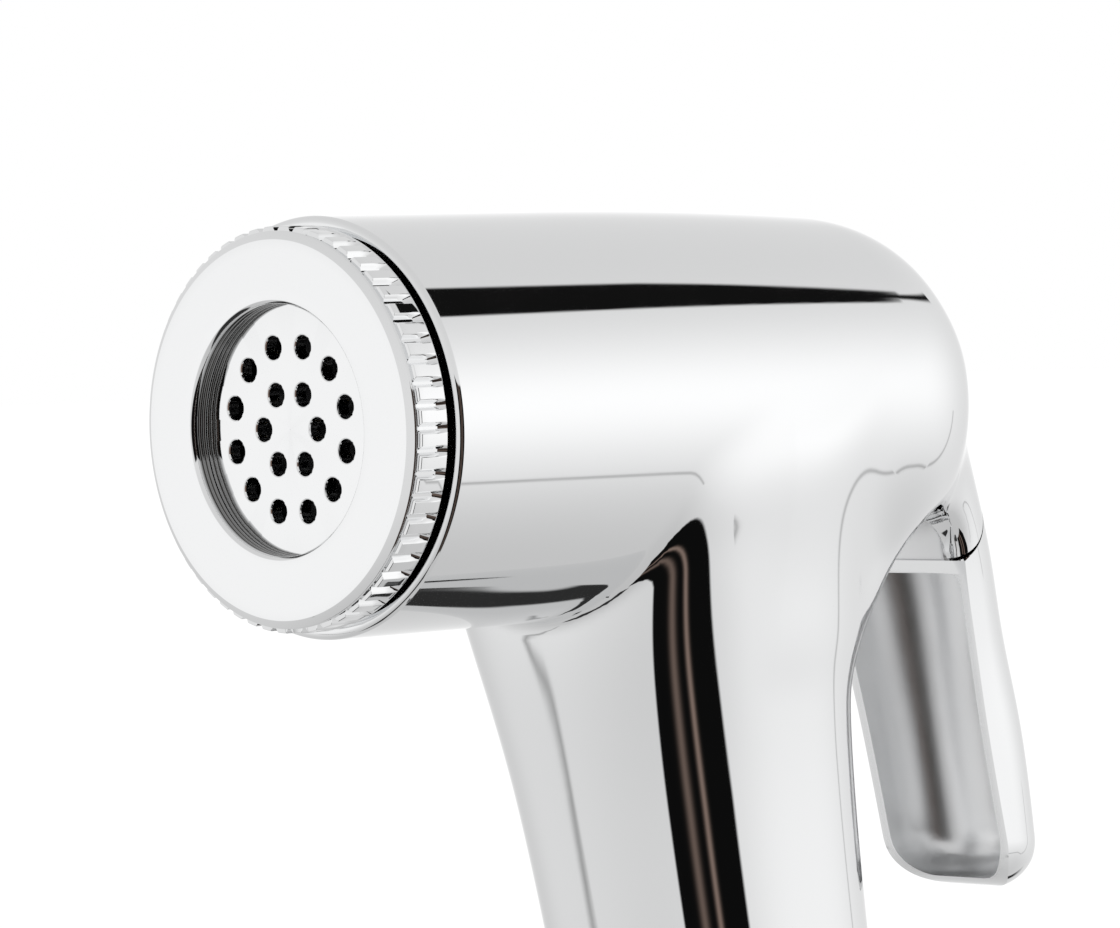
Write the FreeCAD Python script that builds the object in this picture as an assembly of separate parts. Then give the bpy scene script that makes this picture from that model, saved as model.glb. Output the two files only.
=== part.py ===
import FreeCAD, Part
import math
import os

# Handheld bidet shower: a chrome plated brass shell with a horizontal spray barrel, a leaning handle
# and a squeeze lever behind it. Lengths are millimetres.
# The pieces are modelled with the barrel's axis on Y and the spray face at Y = 0, the user's side at
# +Y and up at +Z. They are written out with the hose inlet's end face at the origin.

# Barrel and its rounded rear end
barrel_radius = 17.0
barrel_end = 72.9
crown_start = 28.0
crown_drop = 1.0
dome_start = 57.0
dome_power = 2.4
rim_chamfer = 0.5
barrel_bore_radius = 13.65
barrel_bore_end = 54.0

# Handle: sections are superellipses across its own axis, given at a distance down that axis
handle_lean_deg = 9.4
handle_axis_y = 40.0
handle_power = 2.6
handle_wall = 2.2
handle_end = 105.0
handle_cavity_start = 21.0
handle_boss_length = 9.0
section_step = 8.0
handle_sections = [
    (6.0, 12.6, 14.2),
    (14.0, 13.4, 15.0),
    (20.0, 13.1, 14.6),
    (30.0, 12.5, 13.9),
    (45.0, 11.8, 13.1),
    (72.0, 11.5, 12.3),
    (handle_end, 11.6, 11.9),
]

# Tail: the rear housing that runs on down as the lever. Each section has its height, its half widths
# at its front line and where its round back begins, and its rearmost Y
tail_front = 48.0
tail_round = 0.9
tail_sections = [
    (10.0, 12.0, 9.5, 69.0),
    (6.0, 14.0, 12.0, 73.0),
    (0.0, 15.0, 12.0, 75.9),
    (-7.0, 14.0, 10.0, 78.7),
    (-14.0, 12.5, 8.2, 81.3),
    (-21.0, 11.5, 7.7, 82.7),
    (-28.0, 7.7, 7.6, 84.0),
    (-41.4, 7.5, 7.4, 86.1),
]
tail_wall = 1.8

# Finger slot between the handle and the lever, as corners of its outline in the Y-Z plane
slot_kink = (57.0, -20.8)
slot_arch_left = (64.4, -11.3)
slot_arch_top = (67.7, -10.1)
slot_arch_right = (72.0, -13.4)
slot_rim_top = (72.2, -14.3)
slot_rim_slope = 0.2247
slot_handle_slope = 0.19
slot_floor = -60.0
slot_kink_round = 3.0
slot_bevel_start = 7.9
slot_bevel_ratio = 1.3
slot_bevel_width = 5.2

# Lever and its pivot
pivot_y = 68.0
pivot_z = -5.0
pivot_pin_radius = 1.5
pivot_pin_half_length = 9.0
pivot_clearance = 0.05
plug_radius = 2.0
bush_wall = 0.6
hub_radius = 2.75
hub_half_width = 6.0
seam_radius = 10.0
seam_gap = 0.25
side_clearance = 0.3
cavity_front = 62.0
cavity_top = 5.0
cavity_floor = -22.6
lever_wall = 1.5
lever_ledge = -15.6
lever_lip_round = 2.4
lever_corner_round = 3.5
tine_inside = 1.7
tine_outside = 4.2
tine_nose_radius = 1.6
tine_gap = 0.1

# Face ring, screwed into the front of the barrel
ring_face_radius = 15.2
ring_bore_radius = 10.1
ring_lip = 1.5
ring_length = 3.5
ring_shoulder = 0.7
ring_gap = 0.6
knurl_crest_radius = 16.25
knurl_depth = 0.45
knurl_count = 56
knurl_root_share = 0.4
knurl_gap_share = 0.6
ring_edge = 0.25
skirt_length = 7.0
thread_clearance = 0.05
face_clearance = 0.05

# Spray plate and the stack behind it
plate_radius = 12.3
plate_thickness = 1.2
pocket_clearance = 0.15
spray_hole_radius = 0.93
outer_hole_count = 12
outer_hole_circle = 6.77
inner_hole_count = 6
inner_hole_circle = 3.19
gasket_thickness = 2.0
gasket_bore_radius = 9.8
disc_thickness = 1.0
disc_hole_radius = 1.1
disc_hole_circle = 7.6
disc_hole_count = 16
seal_thickness = 0.5

# Valve body, seat, poppet and stem on the barrel's axis
nose_radius = 12.2
chamber_radius = 10.2
chamber_end = 18.0
seat_radius = 8.0
seat_length = 8.0
seat_hole_radius = 3.2
seat_lip_height = 0.5
seat_lip_width = 0.8
valve_bore_radius = 6.8
poppet_radius = 5.2
poppet_flange = 2.0
poppet_hub_radius = 2.8
poppet_hub_length = 7.0
poppet_washer_thickness = 1.5
poppet_gap = 0.1
screw_radius = 1.2
screw_head_radius = 2.2
screw_head_height = 1.1
screw_slot_width = 0.6
screw_length = 4.0
stem_radius = 1.25
stem_insert = 4.0
spring_wire_radius = 0.45
spring_mean_radius = 4.0
spring_turns = 6
bush_start = 47.0
bush_groove_width = 1.9
bush_outer_groove = 48.5
bush_inner_groove = 51.3
o_ring_cross = 0.8
shell_ring_inset = 3.0
stem_hole_radius = 2.0
stem_washer_radius = 2.65
stem_washer_thickness = 0.4
nut_flats = 4.6
nut_height = 1.5
stem_tip = 0.2

# Water way from the inlet up the handle
riser_radius = 5.0
riser_bore_radius = 4.0
riser_top = 9.3
riser_groove_top = 10.3
riser_groove_width = 1.35
riser_groove_radius = 6.25
nipple_groove_depth = 2.5
riser_seat_depth = 2.0
small_ring_cross = 0.6
nipple_shank_radius = 9.0
nipple_shank_length = 8.0
nipple_flange_radius = 11.4
nipple_flange_length = 3.0
nipple_thread_radius = 10.48
nipple_thread_length = 13.0
nipple_thread_relief = 9.3
nipple_relief_length = 1.2
flange_seat_radius = 10.5
flange_seat_depth = 1.4
check_bore_radius = 7.0
check_bore_depth = 11.0
screen_radius = 8.2
screen_depth = 1.5
screen_hole_radius = 0.6
screen_pitch = 2.0
screen_thickness = 0.8
cage_length = 3.5
cage_port_radius = 3.6
check_disc_radius = 4.8
check_disc_thickness = 1.4
check_stem_radius = 1.2
check_stem_length = 5.2
check_guide_length = 2.0
check_guide_ports = 3
check_port_radius = 1.6
check_spring_wire = 0.3
check_spring_radius = 2.6
check_spring_turns = 4
check_gap = 0.1

# Places worked out from the sizes above
barrel_front = ring_length + ring_gap
skirt_radius = barrel_bore_radius - thread_clearance
ring_end = ring_length + skirt_length
plate_front = ring_lip + face_clearance
plate_back = plate_front + plate_thickness
gasket_back = plate_back + gasket_thickness
disc_back = gasket_back + disc_thickness
seal_front = ring_end + 2 * face_clearance
seal_back = seal_front + seal_thickness
seat_front = chamber_end
seat_back = seat_front + seat_length
lip_back = seat_back + seat_lip_height
washer_front = lip_back + poppet_gap
poppet_front = washer_front + poppet_washer_thickness
poppet_flange_back = poppet_front + poppet_flange
poppet_back = poppet_flange_back + poppet_hub_length
stem_front = poppet_back - stem_insert
tine_face = pivot_y + tine_nose_radius
stem_washer_front = tine_face + tine_gap
stem_washer_back = stem_washer_front + stem_washer_thickness
nut_back = stem_washer_back + nut_height
stem_back = nut_back + stem_tip
bush_radius = pivot_pin_radius + pivot_clearance + bush_wall
nipple_top = handle_end - nipple_shank_length
nipple_face = handle_end + nipple_flange_length
inlet_end = nipple_face + nipple_thread_length
check_seat = inlet_end - screen_depth - check_bore_depth
riser_end = check_seat - riser_seat_depth - face_clearance
cage_end = inlet_end - screen_depth
cage_start = cage_end - cage_length
disc_end = cage_start - check_gap
disc_start = disc_end - check_disc_thickness
guide_end = check_seat + check_guide_length
lean = math.radians(handle_lean_deg)

X_AXIS = FreeCAD.Vector(1, 0, 0)
Y_AXIS = FreeCAD.Vector(0, 1, 0)
Z_AXIS = FreeCAD.Vector(0, 0, 1)


def vec(x, y, z):
    return FreeCAD.Vector(x, y, z)


# Turned pieces on the barrel's axis: the profile is a list of (Y, radius) corners
def turned(profile):
    corners = [vec(0, y, r) for y, r in profile]
    face = Part.Face(Part.makePolygon(corners + corners[:1]))
    return face.revolve(vec(0, 0, 0), Y_AXIS, 360)


def tube(y_front, y_back, outer, inner):
    return turned([(y_front, inner), (y_front, outer), (y_back, outer), (y_back, inner)])


def rod(y_front, y_back, radius, x=0.0, z=0.0):
    return Part.makeCylinder(radius, y_back - y_front, vec(x, y_front, z), Y_AXIS)


def o_ring(y, inside, cross):
    return Part.makeTorus(inside + cross, cross, vec(0, y, 0), Y_AXIS)


def box(x0, x1, y0, y1, z0, z1):
    return Part.makeBox(x1 - x0, y1 - y0, z1 - z0, vec(x0, y0, z0))


# Pieces on the handle's axis are drawn straight down from the barrel's axis, then leaned back
def lean_back(shape):
    leaned = shape.copy()
    leaned.rotate(vec(0, 0, 0), X_AXIS, handle_lean_deg)
    leaned.translate(vec(0, handle_axis_y, 0))
    return leaned


def drop(start, end, radius):
    return Part.makeCylinder(radius, end - start, vec(0, 0, -end), Z_AXIS)


def drop_tube(start, end, outer, inner):
    return drop(start, end, outer).cut(drop(start, end, inner))


def hex_prism(y_front, y_back, flats):
    corner = flats / math.sqrt(3)
    angles = [math.radians(60 * i) for i in range(6)]
    points = [vec(corner * math.cos(a), y_front, corner * math.sin(a)) for a in angles]
    return Part.Face(Part.makePolygon(points + points[:1])).extrude(vec(0, y_back - y_front, 0))


def coil(length, mean_radius, wire_radius, turns):
    """A round wire spring on Z from 0 to length, its wire kept inside that length."""
    rise = length - 2 * wire_radius
    helix = Part.makeHelix(rise / turns, rise, mean_radius)
    ring = Part.Wire(Part.makeCircle(wire_radius, vec(mean_radius, 0, 0), Y_AXIS))
    spring = Part.Wire(helix.Edges).makePipeShell([ring], True, True)
    spring.translate(vec(0, 0, wire_radius))
    return spring


# Sections between the listed ones: a cubic through the table's rows, each row's slope being that of
# the line through its two neighbours
def section_at(table, at):
    last = len(table) - 1
    way = table[last][0] - table[0][0]
    i = sum(1 for row in table[1:-1] if (at - row[0]) * way >= 0)
    near, far = table[i], table[i + 1]
    before, after = table[max(i - 1, 0)], table[min(i + 2, last)]
    span = far[0] - near[0]
    t = (at - near[0]) / span
    values = []
    for k in range(1, len(near)):
        slope_near = (far[k] - before[k]) / (far[0] - before[0]) * span
        slope_far = (after[k] - near[k]) / (after[0] - near[0]) * span
        value = (2 * t ** 3 - 3 * t ** 2 + 1) * near[k] + (t ** 3 - 2 * t ** 2 + t) * slope_near
        value += (3 * t ** 2 - 2 * t ** 3) * far[k] + (t ** 3 - t ** 2) * slope_far
        values.append(value)
    return values


def even_steps(start, end, step):
    count = max(round(abs(end - start) / step), 2)
    return [start + (end - start) * i / count for i in range(count + 1)]


# Outer forms
def barrel_point(y):
    """Radius of the barrel at y: a straight front, a slight crown, then a superelliptic rounded end."""
    crown = crown_drop * (max(y - crown_start, 0.0) / (dome_start - crown_start)) ** 2
    t = min(max((y - dome_start) / (barrel_end - dome_start), 0.0), 1.0)
    return (barrel_radius - crown) * (1 - t ** dome_power) ** (1 / dome_power)


def barrel_form():
    steps = 10
    ys = [crown_start + (dome_start - crown_start) * i / steps for i in range(steps)]
    angles = [0.5 * math.pi * i / (2 * steps) for i in range(2 * steps + 1)]
    ys += [dome_start + (barrel_end - dome_start) * math.sin(a) ** (2 / dome_power) for a in angles]
    side = Part.BSplineCurve()
    side.interpolate(
        Points=[vec(0, y, barrel_point(y)) for y in ys],
        InitialTangent=vec(0, 1, 0),
        FinalTangent=vec(0, 0, -1),
    )
    front = barrel_front
    corners = [
        vec(0, barrel_end, 0),
        vec(0, front, 0),
        vec(0, front, barrel_radius - rim_chamfer),
        vec(0, front + rim_chamfer, barrel_radius),
        vec(0, crown_start, barrel_radius),
    ]
    edges = [Part.makeLine(a, b) for a, b in zip(corners, corners[1:])] + [side.toShape()]
    return Part.Face(Part.Wire(edges)).revolve(vec(0, 0, 0), Y_AXIS, 360)


def handle_ring(depth, half_width, half_depth):
    points = []
    count = 32
    for i in range(count):
        a = 2 * math.pi * i / count
        c, s = math.cos(a), math.sin(a)
        x = half_width * math.copysign(abs(c) ** (2 / handle_power), c)
        y = half_depth * math.copysign(abs(s) ** (2 / handle_power), s)
        points.append(vec(x, y, -depth))
    curve = Part.BSplineCurve()
    curve.interpolate(Points=points, PeriodicFlag=True)
    return Part.Wire([curve.toShape()])


def handle_form(inset=0.0):
    rings = []
    for depth in even_steps(handle_sections[0][0], handle_end, section_step):
        w, h = section_at(handle_sections, depth)
        rings.append(handle_ring(depth, w - inset, h - inset))
    return lean_back(Part.makeLoft(rings, True, False))


def tail_ring(height, front_width, rear_width, rear, inset):
    w = rear_width - inset
    rear = rear - inset
    depth = tail_round * w
    count = 12
    angles = [math.pi * i / count for i in range(count + 1)]
    back = Part.BSplineCurve()
    back.interpolate(
        Points=[vec(w * math.cos(a), rear - depth + depth * math.sin(a), height) for a in angles],
        InitialTangent=vec(0, 1, 0),
        FinalTangent=vec(0, -1, 0),
    )
    front = front_width - inset
    corners = [vec(-w, rear - depth, height), vec(-front, tail_front, height)]
    corners += [vec(front, tail_front, height), vec(w, rear - depth, height)]
    edges = [Part.makeLine(a, b) for a, b in zip(corners, corners[1:])] + [back.toShape()]
    return Part.Wire(edges)


def tail_form(inset=0.0):
    heights = even_steps(tail_sections[0][0], tail_sections[-1][0], section_step / 2)
    rings = [tail_ring(z, *section_at(tail_sections, z), inset) for z in heights]
    return Part.makeLoft(rings, True, False)


def lip_form():
    """The tail's closed lower end: rings that draw in along a quarter circle."""
    height, front, rear_width, rear = tail_sections[-1]
    steps = 5
    rings = []
    for i in range(steps + 1):
        a = 0.5 * math.pi * i / steps
        inset = lever_lip_round * (1 - math.cos(a))
        rings.append(tail_ring(height - lever_lip_round * math.sin(a), front, rear_width, rear, inset))
    return Part.makeLoft(rings, True, True)


# Finger slot: its outline, the prism that cuts it and the bevel along its edges
def rim_y(z):
    return slot_rim_top[0] + slot_rim_slope * (slot_rim_top[1] - z)


def handle_rear_y(z):
    return slot_kink[0] + slot_handle_slope * (slot_kink[1] - z)


def slot_outline():
    floor_left = vec(0, handle_rear_y(slot_floor), slot_floor)
    kink = vec(0, *slot_kink)
    arch_left = vec(0, *slot_arch_left)
    below = kink + (floor_left - kink).normalize() * slot_kink_round
    above = kink + (arch_left - kink).normalize() * slot_kink_round
    middle = (below + above + kink * 2) * 0.25
    arch_right = vec(0, *slot_arch_right)
    rim_top = vec(0, *slot_rim_top)
    floor_right = vec(0, rim_y(slot_floor), slot_floor)
    return Part.Wire([
        Part.makeLine(floor_left, below),
        Part.Arc(below, middle, above).toShape(),
        Part.makeLine(above, arch_left),
        Part.Arc(arch_left, vec(0, *slot_arch_top), arch_right).toShape(),
        Part.makeLine(arch_right, rim_top),
        Part.makeLine(rim_top, floor_right),
        Part.makeLine(floor_right, floor_left),
    ])


def slot_prism():
    reach = 2 * barrel_radius
    prism = Part.Face(slot_outline()).extrude(vec(2 * reach, 0, 0))
    prism.translate(vec(-reach, 0, 0))
    return prism


def slot_bevel(side):
    inner = slot_outline()
    outer = inner.makeOffset2D(slot_bevel_ratio * slot_bevel_width, 2)
    inner.translate(vec(side * slot_bevel_start, 0, 0))
    outer.translate(vec(side * (slot_bevel_start + slot_bevel_width), 0, 0))
    return Part.makeLoft([inner, outer], True, True)


# The lever swings about the pivot, so its top and the housing above it meet on a round seam
def pivot_cylinder(radius, half_width=2 * barrel_radius):
    return Part.makeCylinder(radius, 2 * half_width, vec(-half_width, pivot_y, pivot_z), X_AXIS)


def below_seam(radius):
    wide = 2 * barrel_radius
    zone = box(-wide, wide, pivot_y, pivot_y + wide, slot_floor, pivot_z)
    return zone.cut(pivot_cylinder(radius))


def lever_cavity():
    reach = hub_half_width + side_clearance
    room = box(-reach, reach, cavity_front, pivot_y + 2 * barrel_radius, cavity_floor, cavity_top)
    return room.common(tail_form(tail_wall))


def outer_form():
    wide = 2 * barrel_radius
    housing = tail_form().common(box(-wide, wide, 0, 3 * wide, slot_kink[1], wide))
    form = barrel_form().fuse([handle_form(), housing])
    return form.cut([slot_prism(), slot_bevel(1), slot_bevel(-1), below_seam(seam_radius)])


def body():
    shell = outer_form()
    cavity = handle_form(handle_wall)
    keep = lean_back(drop(handle_cavity_start, handle_end - handle_boss_length, 3 * barrel_radius))
    way = drop(riser_top, handle_cavity_start + 1, riser_radius + side_clearance)
    cuts = [
        rod(barrel_front - 1, barrel_bore_end, barrel_bore_radius),
        rod(barrel_bore_end - 1, cavity_front + 1, stem_hole_radius),
        lever_cavity(),
        cavity.common(keep),
        lean_back(way),
        lean_back(drop(handle_end - handle_boss_length - 1, handle_end + 1, nipple_shank_radius)),
        lean_back(drop(handle_end - flange_seat_depth, handle_end + 1, flange_seat_radius)),
        pivot_cylinder(pivot_pin_radius, pivot_pin_half_length),
        plug_hole(),
    ]
    return shell.cut(cuts)


def plug_hole():
    end = -2 * barrel_radius
    start = -pivot_pin_half_length
    return Part.makeCylinder(plug_radius, start - end, vec(end, pivot_y, pivot_z), X_AXIS)


def pin_plug():
    return plug_hole().common(outer_form())


def lever():
    form = tail_form().fuse(lip_form()).common(below_seam(seam_radius + seam_gap))
    low = tail_sections[-1][0] - lever_lip_round
    wide = 2 * barrel_radius
    room = box(-wide, wide, tail_front - 1, pivot_y + wide, low + lever_wall, lever_ledge)
    shell = form.cut([slot_prism(), front_corner(low), room.common(tail_form(lever_wall))])
    return shell.fuse([lever_neck(), lever_tines()]).cut(lever_bores())


def front_corner(low):
    """What the round at the rim's lower front corner takes away."""
    front = rim_y(low)
    r = lever_corner_round
    wide = 2 * barrel_radius
    corner = box(-wide, wide, front - r, front + r, low - 1, low + r)
    return corner.cut(Part.makeCylinder(r, 2 * wide, vec(-wide, front + r, low + r), X_AXIS))


def lever_neck():
    foot = rim_y(lever_ledge)
    corners = [
        (pivot_y - hub_radius, pivot_z),
        (pivot_y + hub_radius, pivot_z),
        (pivot_y + seam_radius - hub_radius / 2, pivot_z - hub_radius),
        (foot + 2 * hub_radius, lever_ledge + hub_radius),
        (foot + lever_wall, lever_ledge),
        (foot + side_clearance, lever_ledge),
    ]
    points = [vec(-hub_half_width, y, z) for y, z in corners]
    web = Part.Face(Part.makePolygon(points + points[:1])).extrude(vec(2 * hub_half_width, 0, 0))
    web = web.common(tail_form(tail_wall + side_clearance))
    return web.fuse(pivot_cylinder(hub_radius, hub_half_width))


def lever_tines():
    width = tine_outside - tine_inside
    tines = []
    for x in (-tine_outside, tine_inside):
        bar = box(x, x + width, pivot_y - tine_nose_radius, pivot_y + tine_nose_radius, pivot_z, 0)
        nose = Part.makeCylinder(tine_nose_radius, width, vec(x, pivot_y, 0), X_AXIS)
        tines.append(bar.fuse(nose))
    return tines[0].fuse(tines[1])


def lever_bores():
    return pivot_cylinder(bush_radius, hub_half_width + 1)


def lever_bush():
    outer = pivot_cylinder(bush_radius, hub_half_width)
    return outer.cut(pivot_cylinder(pivot_pin_radius + pivot_clearance, hub_half_width + 1))


def pivot_pin():
    return pivot_cylinder(pivot_pin_radius, pivot_pin_half_length)


# Face ring and the pieces that it clamps
def face_ring():
    pocket = plate_radius + pocket_clearance
    edge = ring_edge
    blank = turned([
        (edge, ring_bore_radius),
        (0, ring_bore_radius + edge),
        (0, ring_face_radius),
        (ring_shoulder, knurl_crest_radius - edge),
        (ring_shoulder + edge, knurl_crest_radius),
        (ring_length, knurl_crest_radius),
        (ring_length, skirt_radius),
        (ring_end, skirt_radius),
        (ring_end, pocket),
        (ring_lip, pocket),
        (ring_lip, ring_bore_radius),
    ])
    pitch = 2 * math.pi * knurl_crest_radius / knurl_count
    root = knurl_crest_radius - knurl_depth
    high = knurl_crest_radius + knurl_depth
    foot = pitch * knurl_root_share / 2
    mouth = pitch * knurl_gap_share - foot
    corners = [(-foot, root), (foot, root), (mouth, high), (-mouth, high)]
    points = [vec(x, ring_shoulder, z) for x, z in corners]
    groove = Part.Face(Part.makePolygon(points + points[:1])).extrude(vec(0, ring_length, 0))
    grooves = []
    for i in range(knurl_count):
        cut = groove.copy()
        cut.rotate(vec(0, 0, 0), Y_AXIS, 360 * i / knurl_count)
        grooves.append(cut)
    return blank.cut(grooves)


def hole_ring(count, circle, first_deg, radius, y_front, y_back):
    holes = []
    for i in range(count):
        a = math.radians(first_deg + 360 * i / count)
        holes.append(rod(y_front - 1, y_back + 1, radius, circle * math.cos(a), circle * math.sin(a)))
    return holes


def spray_plate():
    plate = rod(plate_front, plate_back, plate_radius)
    half_step = 180 / outer_hole_count
    outer = hole_ring(outer_hole_count, outer_hole_circle, half_step, spray_hole_radius, plate_front, plate_back)
    inner = hole_ring(inner_hole_count, inner_hole_circle, 0, spray_hole_radius, plate_front, plate_back)
    return plate.cut(outer + inner)


def plate_gasket():
    return tube(plate_back, gasket_back, plate_radius, gasket_bore_radius)


def stream_disc():
    disc = rod(gasket_back, disc_back, plate_radius)
    holes = hole_ring(disc_hole_count, disc_hole_circle, 0, disc_hole_radius, gasket_back, disc_back)
    holes += hole_ring(disc_hole_count // 2, disc_hole_circle / 2, 0, disc_hole_radius, gasket_back, disc_back)
    return disc.cut(holes)


def ring_seal():
    return tube(seal_front, seal_back, skirt_radius - face_clearance, nose_radius + face_clearance)


# Valve
def valve_body():
    back = barrel_bore_end
    blank = turned([
        (disc_back, chamber_radius),
        (disc_back, nose_radius),
        (seal_back, nose_radius),
        (seal_back, skirt_radius),
        (back, skirt_radius),
        (back, valve_bore_radius),
        (seat_back, valve_bore_radius),
        (seat_back, seat_radius),
        (seat_front, seat_radius),
        (seat_front, chamber_radius),
    ])
    floor = skirt_radius - 2 * o_ring_cross
    grooves = [
        tube(y, y + bush_groove_width, barrel_radius, floor)
        for y in (seal_back + shell_ring_inset, back - shell_ring_inset)
    ]
    port = lean_back(drop(0, riser_top, riser_bore_radius))
    socket = lean_back(drop(riser_top - face_clearance, barrel_radius, riser_radius + thread_clearance))
    groove = lean_back(drop(riser_groove_top, riser_groove_top + riser_groove_width, riser_groove_radius))
    return blank.cut(grooves + [port, socket, groove])


def shell_o_rings():
    floor = skirt_radius - 2 * o_ring_cross
    places = (seal_back + shell_ring_inset, barrel_bore_end - shell_ring_inset)
    return [o_ring(y + bush_groove_width / 2, floor, o_ring_cross) for y in places]


def valve_seat():
    lip = seat_hole_radius + seat_lip_width
    outer = seat_radius - thread_clearance
    middle = (seat_front + seat_back) / 2
    blank = turned([
        (seat_front, seat_hole_radius),
        (seat_front, outer),
        (seat_back, outer),
        (seat_back, lip),
        (lip_back, lip),
        (lip_back, seat_hole_radius),
    ])
    floor = seat_radius - 2 * o_ring_cross
    half = bush_groove_width / 2
    return blank.cut(tube(middle - half, middle + half, barrel_radius, floor))


def seat_o_ring():
    return o_ring((seat_front + seat_back) / 2, seat_radius - 2 * o_ring_cross, o_ring_cross - thread_clearance)


def poppet_washer():
    return tube(washer_front, poppet_front, poppet_radius, screw_radius)


def poppet():
    blank = turned([
        (poppet_front, 0),
        (poppet_front, poppet_radius),
        (poppet_flange_back, poppet_radius),
        (poppet_flange_back, poppet_hub_radius),
        (poppet_back, poppet_hub_radius),
        (poppet_back, 0),
    ])
    screw_hole = rod(poppet_front - 1, washer_front + screw_length, screw_radius)
    return blank.cut([screw_hole, rod(stem_front, poppet_back + 1, stem_radius)])


def poppet_screw():
    head = rod(washer_front - screw_head_height, washer_front, screw_head_radius)
    top = washer_front - screw_head_height
    half = screw_slot_width / 2
    slot = box(-screw_head_radius, screw_head_radius, top, top + screw_head_height / 2, -half, half)
    return head.fuse(rod(washer_front, washer_front + screw_length, screw_radius)).cut(slot)


def valve_stem():
    return rod(stem_front, stem_back, stem_radius)


def valve_spring():
    spring = coil(bush_start - poppet_flange_back, spring_mean_radius, spring_wire_radius, spring_turns)
    spring.rotate(vec(0, 0, 0), X_AXIS, -90)
    spring.translate(vec(0, poppet_flange_back, 0))
    return spring


def gland_bush():
    blank = tube(bush_start, barrel_bore_end, valve_bore_radius - thread_clearance, stem_radius + pivot_clearance)
    outer_floor = valve_bore_radius - 2 * o_ring_cross
    outer_groove = tube(bush_outer_groove, bush_outer_groove + bush_groove_width, barrel_radius, outer_floor)
    inner_floor = stem_radius + pivot_clearance + 2 * o_ring_cross
    inner_groove = rod(bush_inner_groove, bush_inner_groove + bush_groove_width, inner_floor)
    return blank.cut([outer_groove, inner_groove])


def gland_outer_ring():
    middle = bush_outer_groove + bush_groove_width / 2
    return o_ring(middle, valve_bore_radius - 2 * o_ring_cross, o_ring_cross)


def gland_inner_ring():
    middle = bush_inner_groove + bush_groove_width / 2
    return o_ring(middle, stem_radius + pivot_clearance, o_ring_cross)


def stem_washer():
    return tube(stem_washer_front, stem_washer_back, stem_washer_radius, stem_radius)


def stem_nut():
    return hex_prism(stem_washer_back, nut_back, nut_flats).cut(valve_stem())


# Water way in the handle
def riser_tube():
    return lean_back(drop_tube(riser_top, riser_end, riser_radius, riser_bore_radius))


def riser_o_ring(groove_top):
    middle = groove_top + riser_groove_width / 2
    inside = riser_radius + small_ring_cross
    return lean_back(Part.makeTorus(inside, small_ring_cross, vec(0, 0, -middle), Z_AXIS))


def inlet_nipple():
    solids = [
        drop(nipple_top, handle_end, nipple_shank_radius - thread_clearance),
        drop(handle_end, nipple_face, nipple_flange_radius),
        drop(nipple_face, nipple_face + nipple_relief_length, nipple_thread_relief),
        drop(nipple_face + nipple_relief_length, inlet_end, nipple_thread_radius),
    ]
    blank = solids[0].fuse(solids[1:])
    groove_top = nipple_top + nipple_groove_depth
    bores = [
        drop(nipple_top - 1, riser_end + face_clearance, riser_radius + thread_clearance),
        drop(riser_end, check_seat + 1, riser_bore_radius),
        drop(check_seat, inlet_end, check_bore_radius),
        drop(inlet_end - screen_depth, inlet_end + 1, screen_radius),
        drop(groove_top, groove_top + riser_groove_width, riser_groove_radius),
    ]
    return lean_back(blank.cut(bores))


def nipple_o_ring():
    inside = nipple_shank_radius + small_ring_cross + thread_clearance
    middle = handle_end - flange_seat_depth / 2
    return lean_back(Part.makeTorus(inside, small_ring_cross, vec(0, 0, -middle), Z_AXIS))


def filter_screen():
    start = inlet_end - screen_depth + face_clearance
    disc = drop(start, start + screen_thickness, screen_radius - thread_clearance)
    reach = int(check_bore_radius / screen_pitch) + 1
    holes = []
    for i in range(-reach, reach + 1):
        for j in range(-reach, reach + 1):
            x, y = i * screen_pitch, j * screen_pitch
            if math.hypot(x, y) + screen_hole_radius < check_bore_radius:
                hole = drop(start - 1, start + screen_thickness + 1, screen_hole_radius)
                hole.translate(vec(x, y, 0))
                holes.append(hole)
    return lean_back(disc.cut(holes))


def check_cage():
    return lean_back(drop_tube(cage_start, cage_end, check_bore_radius - thread_clearance, cage_port_radius))


def check_guide():
    disc = drop(check_seat, guide_end, check_bore_radius - thread_clearance)
    holes = [drop(check_seat - 1, guide_end + 1, check_stem_radius + pivot_clearance)]
    for i in range(check_guide_ports):
        port = drop(check_seat - 1, guide_end + 1, check_port_radius)
        port.translate(vec(riser_bore_radius, 0, 0))
        port.rotate(vec(0, 0, 0), Z_AXIS, 360 * i / check_guide_ports)
        holes.append(port)
    return lean_back(disc.cut(holes))


def check_poppet():
    disc = drop(disc_start, disc_end, check_disc_radius)
    return lean_back(disc.fuse(drop(disc_start - check_stem_length, disc_start, check_stem_radius)))


def check_spring():
    spring = coil(disc_start - guide_end, check_spring_radius, check_spring_wire, check_spring_turns)
    spring.translate(vec(0, 0, -disc_start))
    return lean_back(spring)


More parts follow.
